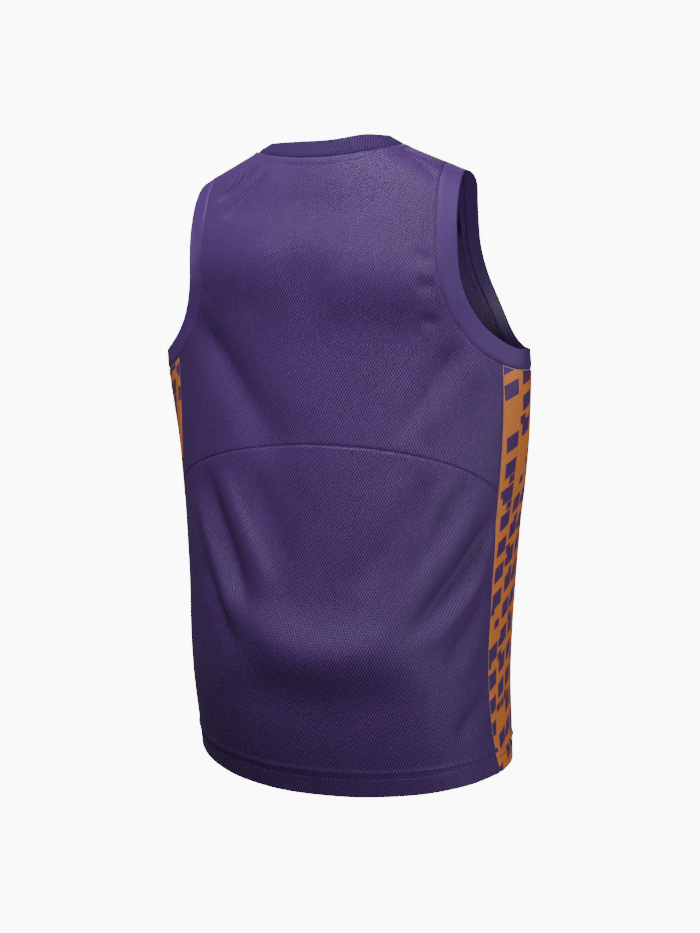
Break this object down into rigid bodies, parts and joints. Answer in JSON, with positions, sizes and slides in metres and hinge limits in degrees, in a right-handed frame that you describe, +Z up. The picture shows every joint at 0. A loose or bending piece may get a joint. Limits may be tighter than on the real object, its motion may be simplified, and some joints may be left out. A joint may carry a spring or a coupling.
{
  "type": "sleeveless basketball warm-up shirt",
  "caption": "Sleeveless purple knit basketball warm-up shirt with ribbed neck and armhole bands, an arched back seam and printed orange side panels, filled out as worn.",
  "frame": {"origin": "midway between the two neck points of the shoulders, where the wearer carries the shirt", "axes": "+Z up as worn, the front faces -Y, +X is the wearer's left"},
  "size_m": [0.4892, 0.3331, 0.7874],
  "materials": {
    "purple_mesh_knit": "fine polyester mesh knit with a soft sheen",
    "purple_band_knit": "smooth double knit",
    "orange_printed_knit": "printed polyester knit"
  },
  "bodies": {
    "root": {"back_upper": "purple_mesh_knit", "back_lower": "purple_mesh_knit", "front": "purple_mesh_knit", "side_panel_left": "orange_printed_knit", "side_panel_right": "orange_printed_knit", "armhole_band_left": "purple_band_knit", "armhole_band_right": "purple_band_knit", "neckband": "purple_band_knit"}
  },
  "joints": []
}
